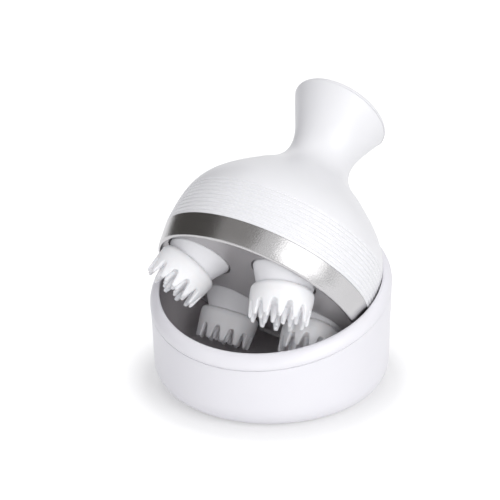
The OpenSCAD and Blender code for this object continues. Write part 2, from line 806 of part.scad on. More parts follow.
module head_hub(i) {
    color("white") lying() difference() {
        union() {
            difference() {
                at_head(i) rotate_extrude() polygon([[0, hub_top], [hub_r - 0.3, hub_top],
                    [hub_r, hub_top - 0.3], [hub_r, plate_recess],
                    [hub_r - 9 * hub_slope, plate_recess - 9], [0, plate_recess - 9]]);
                on_seat(i) translate([-big / 2, -big / 2, 0]) cube([big, big, big]);
            }
            on_seat(i) translate([0, 0, -0.5]) cylinder(r = stud_r, h = stud_h + 0.5);
        }
        at_head(i) {
            translate([0, 0, shaft_low - 0.05]) cylinder(r = shaft_r + 0.02, h = 20);
            translate([0, 0, -20]) cylinder(r = head_screw_r + 0.1, h = 20);
            translate([0, 0, -22.6]) cylinder(r = head_screw_head_r + 0.3, h = 20);
            translate([0, 0, tray_z - 1.7]) cylinder(r = shaft_r + 2.9, h = 20);
        }
    }
}

module head_screw(i) {
    color("gray") lying() at_head(i) {
        translate([0, 0, -4.25]) cylinder(r = head_screw_head_r, h = 1.6);
        translate([0, 0, -4.25]) cylinder(r = head_screw_r - 0.02, h = 7);
    }
}

// Cutter for the scallop between two outer teeth
module scallop() {
    low = claw_crown + 0.7;
    half = PI * (claw_r - 1) / teeth_out - tip_r;
    rotate([90, 0, 90]) translate([0, 0, claw_r - claw_wall - 3]) linear_extrude(10) {
        translate([0, low]) circle(1.35, $fn = 32);
        polygon([[-1.35, low], [1.35, low], [half, claw_len + 0.5], [-half, claw_len + 0.5]]);
    }
}

module finger(len) {
    cylinder(r1 = finger_r, r2 = tip_r, h = len - tip_r, $fn = 32);
    translate([0, 0, len - tip_r]) sphere(tip_r, $fn = 32);
}

module head_claw(i) {
    wall_in = claw_r - claw_wall;
    color("white") lying() on_seat(i) {
        difference() {
            rotate_extrude() polygon(concat([[0, 0.1], [claw_r - 2.2, 0.1]],
                [for (a = [75:-15:0]) [claw_r - 2.2 + 2.2 * cos(a), 2.5 - 2.4 * sin(a)]],
                [[claw_r - 0.1, 5.5], [claw_r - 0.5, 9], [claw_r - 1, claw_len - 1],
                    [claw_r - 1.3, claw_len - 0.3], [claw_r - 1.8, claw_len],
                    [claw_r - 2.3, claw_len - 0.3], [claw_r - 2.5, claw_len - 1],
                    [wall_in, claw_crown], [0, claw_crown]]));
            translate([0, 0, -1]) cylinder(r = stud_r + fit_gap, h = stud_h + 1.1);
            for (k = [0:teeth_out - 1]) rotate([0, 0, (k + 0.5) * 360 / teeth_out]) scallop();
        }
        for (k = [0:teeth_mid - 1]) rotate([0, 0, k * 360 / teeth_mid])
            translate([claw_r * 0.55, 0, claw_crown - 0.1]) finger(claw_len - claw_crown - 0.3);
        for (k = [0:teeth_in - 1]) rotate([0, 0, (k + 0.5) * 360 / teeth_in])
            translate([claw_r * 0.23, 0, claw_crown - 0.1]) finger(claw_len - claw_crown - 0.1);
    }
}

module shaft_front_left() { head_shaft(0); }
module gear_front_left() { head_gear(0); }
module hub_front_left() { head_hub(0); }
module screw_front_left() { head_screw(0); }
module claw_front_left() { head_claw(0); }
module shaft_front_right() { head_shaft(1); }
module gear_front_right() { head_gear(1); }
module hub_front_right() { head_hub(1); }
module screw_front_right() { head_screw(1); }
module claw_front_right() { head_claw(1); }
module shaft_back_right() { head_shaft(2); }
module gear_back_right() { head_gear(2); }
module hub_back_right() { head_hub(2); }
module screw_back_right() { head_screw(2); }
module claw_back_right() { head_claw(2); }
module shaft_back_left() { head_shaft(3); }
module gear_back_left() { head_gear(3); }
module hub_back_left() { head_hub(3); }
module screw_back_left() { head_screw(3); }
module claw_back_left() { head_claw(3); }

cup_shell();
rim_ring();
inner_tray();
rubber_feet();
cup_screws();
body_shell();
handle_cap();
switch_board();
switch_housing();
trim_band();
face_plate();
gear_tray();
gear_lid();
lower_bushes();
upper_bushes();
shaft_seals();
gear_pins();
body_screws();
motor_can();
motor_screws();
battery_cell();
battery_holder();
main_board();
charge_socket();
charge_cover();
power_button();
switch_plunger();
motor_shaft();
motor_pinion();
reduction_gear();
middle_gear();
shaft_front_left();
gear_front_left();
hub_front_left();
screw_front_left();
claw_front_left();
shaft_front_right();
gear_front_right();
hub_front_right();
screw_front_right();
claw_front_right();
shaft_back_right();
gear_back_right();
hub_back_right();
screw_back_right();
claw_back_right();
shaft_back_left();
gear_back_left();
hub_back_left();
screw_back_left();
claw_back_left();
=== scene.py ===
"""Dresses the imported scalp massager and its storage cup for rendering.

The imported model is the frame: every piece here rides on one of its bodies. Sizes are in
millimetres, as in the part's source, and are turned to metres where a mesh is made. Only the
studio is given in metres.
"""
import logging
import math
from bisect import bisect_left
from dataclasses import dataclass, field
from enum import Enum
from typing import Callable, Sequence

import bmesh
import bpy
from mathutils import Euler, Matrix, Vector


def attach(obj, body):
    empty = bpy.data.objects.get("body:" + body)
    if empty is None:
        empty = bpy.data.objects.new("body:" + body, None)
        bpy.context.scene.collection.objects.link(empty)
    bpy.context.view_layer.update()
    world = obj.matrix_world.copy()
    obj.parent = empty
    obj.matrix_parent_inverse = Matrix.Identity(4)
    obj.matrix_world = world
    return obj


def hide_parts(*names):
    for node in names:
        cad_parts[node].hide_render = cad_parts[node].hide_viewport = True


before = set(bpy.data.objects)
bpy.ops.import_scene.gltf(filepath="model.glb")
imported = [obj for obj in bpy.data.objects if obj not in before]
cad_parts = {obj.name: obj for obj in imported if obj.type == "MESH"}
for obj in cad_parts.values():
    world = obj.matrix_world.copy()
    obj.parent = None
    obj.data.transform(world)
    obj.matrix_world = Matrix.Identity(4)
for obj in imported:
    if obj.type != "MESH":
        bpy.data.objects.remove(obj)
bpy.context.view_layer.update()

LOG = logging.getLogger("massager")
MM = 0.001
Point = tuple[float, float]
Spot = tuple[float, float, float]
HEAD_NAMES = ("front_left", "front_right", "back_right", "back_left")


# ---- colours and materials ----

def linear(hex_colour: str) -> tuple[float, float, float, float]:
    """Turns an sRGB hex colour into linear RGBA.

    Args:
        hex_colour: Six hex digits, such as "f4f4f6".

    Returns:
        The colour's linear red, green and blue, and an alpha of 1.
    """
    parts = [int(hex_colour[i:i + 2], 16) / 255 for i in (0, 2, 4)]
    red, green, blue = [p / 12.92 if p <= 0.04045 else ((p + 0.055) / 1.055) ** 2.4
                        for p in parts]
    return red, green, blue, 1.0


def add_node(owner: bpy.types.Material | bpy.types.World, kind: str,
             settings: dict | None = None, inputs: dict | None = None) -> bpy.types.Node:
    """Adds one shader node with its settings, values and links.

    Args:
        owner: The material or world that gets the node.
        kind: Blender's name of the node's type.
        settings: Values of the node's own attributes.
        inputs: For each input, by name or number, a value or the output socket that feeds it.

    Returns:
        The new node.
    """
    tree = owner.node_tree
    node = tree.nodes.new(kind)
    for name, value in (settings or {}).items():
        setattr(node, name, value)
    for name, value in (inputs or {}).items():
        if isinstance(value, bpy.types.NodeSocket):
            tree.links.new(value, node.inputs[name])
        else:
            node.inputs[name].default_value = value
    return node


class Surface(Enum):
    """How a finish was made, which sets the form of its fine relief."""

    MOULDED = "moulded"
    SILICONE = "silicone"
    BLASTED = "blasted"
    TURNED = "turned"
    RUBBER = "rubber"
    BOARD = "board"


# The texture that draws each relief: soft waves, warped streaks, or cells like grains.
WAVES = ("ShaderNodeTexNoise", {"Detail": 3.0})
STREAKS = ("ShaderNodeTexNoise", {"Detail": 6.0, "Distortion": 2.0})
CELLS = ("ShaderNodeTexVoronoi", {"Randomness": 1.0})
RELIEFS: dict[Surface, tuple[str, dict[str, float]]] = {
    Surface.MOULDED: WAVES, Surface.SILICONE: WAVES, Surface.TURNED: STREAKS,
    Surface.BLASTED: CELLS, Surface.RUBBER: CELLS, Surface.BOARD: CELLS}


@dataclass(frozen=True)
class Finish:
    """One real finish and the numbers that show it.

    grain_mm is the size of the relief's grain, and relief its strength as a bump. The
    roughness varies with the grain between two shares of its value. In a finish that the
    camera sees, that range keeps clear of 0.274, where the renderer leaves hard edges.
    """

    name: str
    surface: Surface
    colour: str
    roughness: float
    metallic: float = 0.0
    ior: float = 1.5
    grain_mm: float = 1.0
    relief: float = 0.05
    tint: str = ""
    coat: float = 0.0
    coat_roughness: float = 0.08
    translucence: float = 0.0
    light_depth_mm: float = 2.5
    light_depth_rgb: Spot = (1.0, 0.9, 0.85)
    rough_shares: tuple[float, float] = (0.9, 1.12)
    bump_share: float = 0.1
    patch_mm: float = 15.0
    slot: str = ""

    def build(self) -> bpy.types.Material:
        """Makes the finish as a node material.

        Returns:
            The material.
        """
        material = bpy.data.materials.new(self.name)
        material.use_nodes = True
        tree = material.node_tree
        shader = tree.nodes["Principled BSDF"]
        for name, value in self._plain_inputs().items():
            shader.inputs[name].default_value = value
        place = add_node(material, "ShaderNodeTexCoord").outputs["Object"]
        grain = self._grain(material, place)
        mix = add_node(material, "ShaderNodeMix", {"data_type": "RGBA"}, {
            0: self._patches(material, place),
            6: linear(self.colour), 7: linear(self.tint or self.colour)})
        tree.links.new(mix.outputs[2], shader.inputs["Base Color"])
        low, high = self.rough_shares
        rough = add_node(material, "ShaderNodeMapRange", {}, {
            0: grain, 3: self.roughness * low, 4: self.roughness * high})
        tree.links.new(rough.outputs[0], shader.inputs["Roughness"])
        bump = add_node(material, "ShaderNodeBump", {}, {
            "Strength": self.relief, "Distance": self.grain_mm * MM * self.bump_share,
            "Height": grain})
        tree.links.new(bump.outputs[0], shader.inputs["Normal"])
        return material

    def _plain_inputs(self) -> dict[str, float | Spot]:
        """Lists the shader's inputs that are the same all over the surface.

        Returns:
            Each input's name and value. A metal keeps the shader's own IOR.
        """
        values: dict[str, float | Spot] = {"Metallic": self.metallic}
        if not self.metallic:
            values["IOR"] = self.ior
        if self.coat:
            values |= {"Coat Weight": self.coat, "Coat Roughness": self.coat_roughness}
        if self.translucence:
            values |= {"Subsurface Weight": self.translucence,
                       "Subsurface Radius": self.light_depth_rgb,
                       "Subsurface Scale": self.light_depth_mm * MM}
        return values

    def _grain(self, material: bpy.types.Material,
               place: bpy.types.NodeSocket) -> bpy.types.NodeSocket:
        """Adds the fine relief.

        Args:
            material: The material that gets it.
            place: The point on the piece.

        Returns:
            The relief's height.
        """
        kind, form = RELIEFS[self.surface]
        return add_node(material, kind, {}, {
            "Vector": place, "Scale": 1 / (self.grain_mm * MM), **form}).outputs[0]

    def _patches(self, material: bpy.types.Material,
                 place: bpy.types.NodeSocket) -> bpy.types.NodeSocket:
        """Adds the slow drift between colour and tint.

        Args:
            material: The material that gets it.
            place: The point on the piece.

        Returns:
            The share of the tint.
        """
        return add_node(material, "ShaderNodeTexNoise", {}, {
            "Vector": place, "Scale": 1 / (self.patch_mm * MM), "Detail": 2.0}).outputs[0]


# Glossy ABS, injection moulded and polished: broad soft highlights with a faint orange peel
# of 2.5 mm. The cup's is a trace bluer than the massager's.
CUP_ABS = Finish("cup_abs_moulded_gloss", Surface.MOULDED, "f1f0f4", 0.36, grain_mm=2.5,
                 relief=0.02, tint="eeedf2", slot="cup_white")
BODY_ABS = Finish("body_abs_moulded_gloss", Surface.MOULDED, "f2f2f4", 0.34, grain_mm=2.5,
                  relief=0.02, tint="efeff1", slot="body_white")
# The same ABS from a spark-eroded mould, satin, so its highlights are softer. The pits are
# drawn at 0.4 mm, coarser than real, as finer ones would not show.
HUB_ABS = Finish("hub_abs_satin", Surface.MOULDED, "f5f5f7", 0.42, grain_mm=0.4, relief=0.05,
                 tint="f1f1f4", slot="hub_white")
# Silicone rubber, 50 Shore A, moulded: dull soft highlights, and light that enters a little
# way and lifts the shadows between the teeth. Its skin is drawn at 0.8 mm, coarser than real.
CLAW_SILICONE = Finish("claw_silicone_rubber", Surface.SILICONE, "f8f8fa", 0.45, ior=1.41,
                       grain_mm=0.8, relief=0.02, tint="f5f5f8", translucence=0.4,
                       slot="claw_silicone")
# Bead-blasted anodised aluminium: a bright satin grey with a fine sparkle. The bead marks are
# drawn at 0.8 mm, coarser than real, as finer ones would not show.
BAND_ALU = Finish("band_aluminium_blasted", Surface.BLASTED, "bdbcbd", 0.24, metallic=1.0,
                  grain_mm=0.8, relief=0.3, tint="b4b3b4", slot="band_silver")
# Metallised ABS: the colour of the band, but flatter and smoother, with duller reflections.
PLATE_ABS = Finish("plate_abs_metallised", Surface.MOULDED, "bcb9bb", 0.34, metallic=0.4,
                   grain_mm=0.8, relief=0.03, tint="b4b2b3", slot="plate_silver")
# Pale grey ABS under a clear gloss lacquer: it mirrors the claws faintly. Its grey is drawn
# paler than the real tray's, as painted light that lifts the dim inside of the cup.
TRAY_ABS = Finish("tray_abs_lacquered", Surface.MOULDED, "e2dee1", 0.2, grain_mm=2.5,
                  relief=0.02, tint="dbd7da", coat=0.8, slot="tray_grey")
# Moulded rubber pads: nearly black and dull, with a skin of 0.5 mm grains.
FOOT_RUBBER = Finish("foot_rubber_pad", Surface.RUBBER, "3c3c3e", 0.75, grain_mm=0.5,
                     relief=0.2, tint="353537", slot="foot_rubber")
# Zinc-plated steel screws: a bright grey with blurred reflections and tool marks.
SCREW_STEEL = Finish("screw_steel_zinc", Surface.TURNED, "a9a9ab", 0.32, metallic=1.0,
                     grain_mm=0.5, relief=0.06, tint="9f9fa1", slot="screw_steel")
# Ground steel shafts and pins: sharper reflections than a screw's.
SHAFT_STEEL = Finish("shaft_steel_ground", Surface.TURNED, "bcbcbe", 0.22, metallic=1.0,
                     grain_mm=0.3, relief=0.04, tint="b2b2b4", slot="shaft_steel")
# The motor's can, drawn from sheet steel: smooth, with long faint streaks.
MOTOR_STEEL = Finish("motor_steel_drawn", Surface.TURNED, "b0b0b2", 0.28, metallic=1.0,
                     grain_mm=0.8, relief=0.05, tint="a4a4a6", slot="motor_steel")
# Turned brass: yellow, with tool marks of 0.4 mm, coarser than real.
BUSH_BRASS = Finish("bush_brass_turned", Surface.TURNED, "c9a05a", 0.25, metallic=1.0,
                    grain_mm=0.4, relief=0.05, tint="bd9450", slot="bush_brass")
# Moulded nitrile rubber: black, a little smoother than the feet.
SEAL_RUBBER = Finish("seal_rubber_moulded", Surface.RUBBER, "1c1c1d", 0.6, grain_mm=0.4,
                     relief=0.1, tint="171718", slot="seal_rubber")
# Glass-fibre epoxy under green solder mask: glossy over a weave of 1 mm.
BOARD_EPOXY = Finish("board_epoxy_masked", Surface.BOARD, "1d5a34", 0.4, grain_mm=1.0,
                     relief=0.1, tint="174d2c", coat=0.3, slot="board_green")
# Moulded black nylon: satin, with a faint grain.
BLACK_NYLON = Finish("nylon_moulded_black", Surface.MOULDED, "1f1f21", 0.5, grain_mm=0.6,
                     relief=0.08, tint="19191b", slot="black_plastic")
# Unpolished ABS of the gearbox: plain grey and matt, as no one sees it.
GEARBOX_ABS = Finish("gearbox_abs_moulded", Surface.MOULDED, "bfc0c3", 0.5, grain_mm=0.7,
                     relief=0.08, tint="b5b6b9", slot="gearbox_grey")
# Moulded acetal gears: milky white, slightly waxy.
GEAR_ACETAL = Finish("gear_acetal_moulded", Surface.MOULDED, "e9e8e1", 0.4, grain_mm=0.5,
                     relief=0.05, tint="e1e0d8", slot="gear_white")
# The battery's shrunk PVC sleeve: blue and glossy.
CELL_SLEEVE = Finish("cell_sleeve_shrunk", Surface.MOULDED, "2a4fa3", 0.25, grain_mm=2.0,
                     relief=0.05, tint="23448f", coat=0.4, slot="cell_blue")
# Moulded ABS button: as the body, with a slightly finer and stronger grain for the thumb.
BUTTON_ABS = Finish("button_abs_moulded", Surface.MOULDED, "ededf0", 0.33, grain_mm=0.8,
                    relief=0.04, tint="e6e6ea", slot="button_white")

NODE_FINISHES: dict[str, Finish] = {
    "cup_shell": CUP_ABS, "rim_ring": CUP_ABS, "inner_tray": TRAY_ABS,
    "rubber_feet": FOOT_RUBBER, "cup_screws": SCREW_STEEL,
    "body_shell": BODY_ABS, "handle_cap": BODY_ABS, "charge_cover": BODY_ABS,
    "switch_board": BOARD_EPOXY, "main_board": BOARD_EPOXY,
    "switch_housing": BLACK_NYLON, "charge_socket": BLACK_NYLON,
    "battery_holder": BLACK_NYLON, "switch_plunger": BLACK_NYLON,
    "trim_band": BAND_ALU, "face_plate": PLATE_ABS,
    "gear_tray": GEARBOX_ABS, "gear_lid": GEARBOX_ABS,
    "lower_bushes": BUSH_BRASS, "upper_bushes": BUSH_BRASS, "motor_pinion": BUSH_BRASS,
    "shaft_seals": SEAL_RUBBER, "gear_pins": SHAFT_STEEL, "motor_shaft": SHAFT_STEEL,
    "body_screws": SCREW_STEEL, "motor_screws": SCREW_STEEL, "motor_can": MOTOR_STEEL,
    "battery_cell": CELL_SLEEVE, "power_button": BUTTON_ABS,
    "reduction_gear": GEAR_ACETAL, "middle_gear": GEAR_ACETAL,
    **{f"shaft_{head}": SHAFT_STEEL for head in HEAD_NAMES},
    **{f"gear_{head}": GEAR_ACETAL for head in HEAD_NAMES},
    **{f"hub_{head}": HUB_ABS for head in HEAD_NAMES},
    **{f"screw_{head}": SCREW_STEEL for head in HEAD_NAMES},
    **{f"claw_{head}": CLAW_SILICONE for head in HEAD_NAMES},
}


@dataclass
class Wardrobe:
    """Makes each finish once and puts it on pieces."""

    made: dict[str, bpy.types.Material] = field(default_factory=dict)

    def material(self, finish: Finish) -> bpy.types.Material:
        """Finds a finish's material, which is made at its first use.

        Args:
            finish: The finish.

        Returns:
            The material.
        """
        if finish.name not in self.made:
            self.made[finish.name] = finish.build()
        return self.made[finish.name]

    def dress(self, piece: bpy.types.Object, finish: Finish) -> None:
        """Puts a finish on a piece in place of what it has."""
        piece.data.materials.clear()
        piece.data.materials.append(self.material(finish))

    def dress_nodes(self) -> None:
        """Gives every carried-over CAD node its finish."""
        for name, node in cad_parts.items():
            self.dress(node, NODE_FINISHES[name])
            LOG.info("node %s: %s", name, NODE_FINISHES[name].name)

    def dress_skin(self, piece: bpy.types.Object, node: str, body: str,
                   finish: Finish) -> None:
        """Dresses a new piece and puts it in the place of its CAD node.

        Args:
            piece: The new piece.
            node: The node that it stands for.
            body: The body that carries it.
            finish: Its finish.
        """
        self.dress(piece, finish)
        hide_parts(node)
        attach(piece, body)
        LOG.info("piece %s, %d faces", piece.name, len(piece.data.polygons))


# ---- meshes ----

def add_piece(name: str, verts: Sequence[Vector], faces: Sequence[Sequence[int]],
              sharp_deg: float = 35.0) -> bpy.types.Object:
    """Makes a smooth-shaded object from points in millimetres.

    Args:
        name: The piece's name.
        verts: Its points, in millimetres, in the row's frame.
        faces: Its faces, as rows of point numbers.
        sharp_deg: Edges that bend more than this stay sharp.

    Returns:
        The object.
    """
    mesh = bpy.data.meshes.new(name)
    mesh.from_pydata([v * MM for v in verts], [], faces)
    edit = bmesh.new()
    edit.from_mesh(mesh)
    bmesh.ops.recalc_face_normals(edit, faces=edit.faces)
    edit.to_mesh(mesh)
    edit.free()
    mesh.shade_smooth()
    mesh.set_sharp_from_angle(angle=math.radians(sharp_deg))
    piece = bpy.data.objects.new(name, mesh)
    bpy.context.scene.collection.objects.link(piece)
    return piece


def closed_sweep(name: str, rows: Sequence[Sequence[Vector]]) -> bpy.types.Object:
    """Joins closed sections, one for each turn, into a ring-shaped piece.

    Args:
        name: The piece's name.
        rows: For each turn, the points of one closed section, in the same order.

    Returns:
        The object.
    """
    turns, count = len(rows), len(rows[0])
    verts = [p for row in rows for p in row]
    faces = []
    for k in range(turns):
        after = (k + 1) % turns
        for j in range(count):
            up = (j + 1) % count
            faces.append((k * count + j, k * count + up, after * count + up, after * count + j))
    return add_piece(name, verts, faces)


def directions(turns: int) -> list[float]:
    """Directions, in radians, that divide a full turn evenly."""
    return [2 * math.pi * k / turns for k in range(turns)]


def turned(section: Sequence[Point], a: float) -> list[Vector]:
    """Stands a section up in a direction round the axis.

    Args:
        section: Its points, as radius and height.
        a: The direction, in radians.

    Returns:
        The points in space.
    """
    return [Vector((r * math.cos(a), r * math.sin(a), z)) for r, z in section]


def arc(centre: Point, radius: float, start: float, end: float, steps: int) -> list[Point]:
    """Lays points along an arc in a section.

    Args:
        centre: The arc's centre, as radius and height.
        radius: The arc's own radius.
        start: Where it starts, in degrees from the outward direction.
        end: Where it ends.
        steps: How many steps it has.

    Returns:
        The points, one more than the steps.
    """
    return [(centre[0] + radius * math.cos(math.radians(start + (end - start) * k / steps)),
             centre[1] + radius * math.sin(math.radians(start + (end - start) * k / steps)))
            for k in range(steps + 1)]


def cubic(a: Point, b: Point, c: Point, d: Point, t: float) -> Point:
    """Finds a point on a cubic curve.

    Args:
        a: Where the curve starts.
        b: The point that it leaves towards.
        c: The point that it arrives from.
        d: Where it ends.
        t: How far along the point lies, from 0 to 1.

    Returns:
        The point.
    """
    w = ((1 - t) ** 3, 3 * (1 - t) ** 2 * t, 3 * (1 - t) * t * t, t ** 3)
    return tuple(sum(q * p[i] for q, p in zip(w, (a, b, c, d))) for i in (0, 1))


# ---- storage cup ----

@dataclass
class StorageCup:
    """The cup with its slanted rim ring and glossy inner tray. Sizes in millimetres.

    The edges of shell and ring are broken by edge, with a point between that lies edge_in
    inside the wall and edge_off from the face, so that they catch the light softly. The rim's
    shoulder has a point at every shoulder_step degrees.
    """

    cup_r: float = 57.0
    cup_h: float = 52.8
    rim_slant: float = 15.7
    lip_r: float = 52.4
    cup_draft: float = 0.8
    cup_round: float = 12.7
    inner_round: float = 11.2
    cup_wall: float = 2.6
    cup_floor: float = 2.8
    cup_under: float = 0.3
    ring_h: float = 5.4
    lip_land: float = 0.5
    lip_edge: float = 0.5
    lip_drop: float = 1.7
    shoulder_share: float = 0.8
    shoulder_power: float = 1.25
    tray_play: float = 0.35
    tray_wall: float = 1.2
    tray_floor_z: float = 6.0
    tray_floor_t: float = 1.4
    tray_round: float = 7.0
    floor_row_r: float = 20.0
    seam_gap: float = 0.25
    step_gap: float = 0.15
    edge: float = 0.25
    edge_in: float = 0.08
    edge_off: float = 0.07
    wall_rows: int = 14
    tray_rows: int = 12
    shoulder_step: int = 5
    turns: int = 288

    def slanted(self, section: Callable[[float], list[Point]]) -> list[list[Vector]]:
        """Sweeps a section round the cup's axis.

        Args:
            section: Gives, for the rise of the rim plane per unit of radius, the section's
                points as radius and height.

        Returns:
            One row of points for each turn.
        """
        slope = math.tan(math.radians(self.rim_slant))
        return [turned(section(slope * math.sin(a)), a) for a in directions(self.turns)]

    def shell_section(self, rise: float) -> list[Point]:
        """Draws the outer shell's section, with its small edge rounds.

        Args:
            rise: The rise of the rim plane per unit of radius.

        Returns:
            The section's points, as radius and height.
        """
        foot = self.cup_r - self.cup_draft
        inner = self.cup_r - self.cup_wall
        seam = self.cup_h - self.ring_h - self.seam_gap
        top_out = seam + rise * self.cup_r
        wall_h = top_out - self.edge - self.cup_round
        heights = [self.cup_round + self.cup_under + wall_h * k / self.wall_rows
                   for k in range(1, self.wall_rows + 1)]
        draft_h = self.cup_h - self.cup_round
        wall = [(foot + self.cup_draft * (z - self.cup_round) / draft_h, z) for z in heights]
        floor = self.cup_under + self.cup_floor
        return ([(0.0, self.cup_under), (self.floor_row_r, self.cup_under)]
                + arc((foot - self.cup_round, self.cup_round + self.cup_under),
                      self.cup_round, -90, 0, steps=24)
                + wall
                + [(self.cup_r - self.edge_in, top_out - self.edge_off),
                   (self.cup_r - self.edge, top_out), (inner, seam + rise * inner)]
                + arc((inner - self.inner_round, floor + self.inner_round),
                      self.inner_round, 0, -90, steps=12)
                + [(0.0, floor)])

    def ring_section(self, rise: float) -> list[Point]:
        """Draws the rim ring's section: a flat land, a round shoulder and the inner lip.

        Args:
            rise: The rise of the rim plane per unit of radius.

        Returns:
            The section's points, as radius and height.
        """
        shoulder_r = self.cup_r - self.lip_r - self.lip_land - self.lip_edge
        shoulder_h = self.ring_h * self.shoulder_share
        power = self.shoulder_power
        tray_out = self.lip_r + self.tray_play + self.tray_wall + self.step_gap
        flat = [(tray_out, -self.ring_h), (self.cup_r - self.edge, -self.ring_h),
                (self.cup_r - self.edge_in, -self.ring_h + self.edge_off),
                (self.cup_r, -self.ring_h + self.edge)]
        flat += [(self.cup_r - shoulder_r * (1 - math.cos(math.radians(a)) ** power),
                  -shoulder_h * (1 - math.sin(math.radians(a)) ** power))
                 for a in range(0, 91, self.shoulder_step)]
        flat += arc((self.lip_r + self.lip_edge, -self.lip_edge), self.lip_edge, 90, 180,
                    steps=5)
        flat += [(self.lip_r, -self.lip_drop), (tray_out, -self.lip_drop)]
        return [(r, self.cup_h + h + rise * r) for r, h in flat]

    def tray_section(self, rise: float) -> list[Point]:
        """Draws the tray's section, with the round at the foot of its wall.

        Args:
            rise: The rise of the rim plane per unit of radius.

        Returns:
            The section's points, as radius and height.
        """
        inner = self.lip_r + self.tray_play
        outer = inner + self.tray_wall
        top = self.cup_h - self.lip_drop - self.step_gap
        low = self.tray_floor_z - self.tray_floor_t
        out_round = self.tray_round + self.tray_wall
        wall_low = self.tray_floor_z + self.tray_round
        top_in = top + rise * inner
        wall = [(inner, top_in + (wall_low - top_in) * k / self.tray_rows)
                for k in range(self.tray_rows)]
        return ([(0.0, low)]
                + arc((outer - out_round, low + out_round), out_round, -90, 0, steps=12)
                + [(outer, top + rise * outer)] + wall
                + arc((inner - self.tray_round, wall_low), self.tray_round, 0, -90, steps=16)
                + [(self.floor_row_r, self.tray_floor_z), (0.0, self.tray_floor_z)])

    def build(self, wardrobe: Wardrobe) -> None:
        """Makes the three shells in place of their CAD nodes.

        Args:
            wardrobe: Puts the finishes on them.
        """
        for node, section, finish in (
                ("cup_shell", self.shell_section, CUP_ABS),
                ("rim_ring", self.ring_section, CUP_ABS),
                ("inner_tray", self.tray_section, TRAY_ABS)):
            piece = closed_sweep(f"{node}_skin", self.slanted(section))
            wardrobe.dress_skin(piece, node, "base", finish)


# ---- massager ----

@dataclass
class Lying:
    """How the massager lies in the cup: its own frame, +Z from the claws to the handle."""

    x: float = -2.9
    y: float = -13.6
    z: float = 49.1
    tilt: float = 49.3
    turn: float = 75.1
    spin: float = 92.3

    def matrix(self) -> Matrix:
        """Works out the massager's frame.

        Returns:
            Its place and turn in the row's frame, in millimetres.
        """
        return (Matrix.Translation((self.x, self.y, self.z))
                @ Matrix.Rotation(math.radians(self.turn), 4, "Z")
                @ Matrix.Rotation(math.radians(self.tilt), 4, "Y")
                @ Matrix.Rotation(math.radians(self.spin), 4, "Z"))


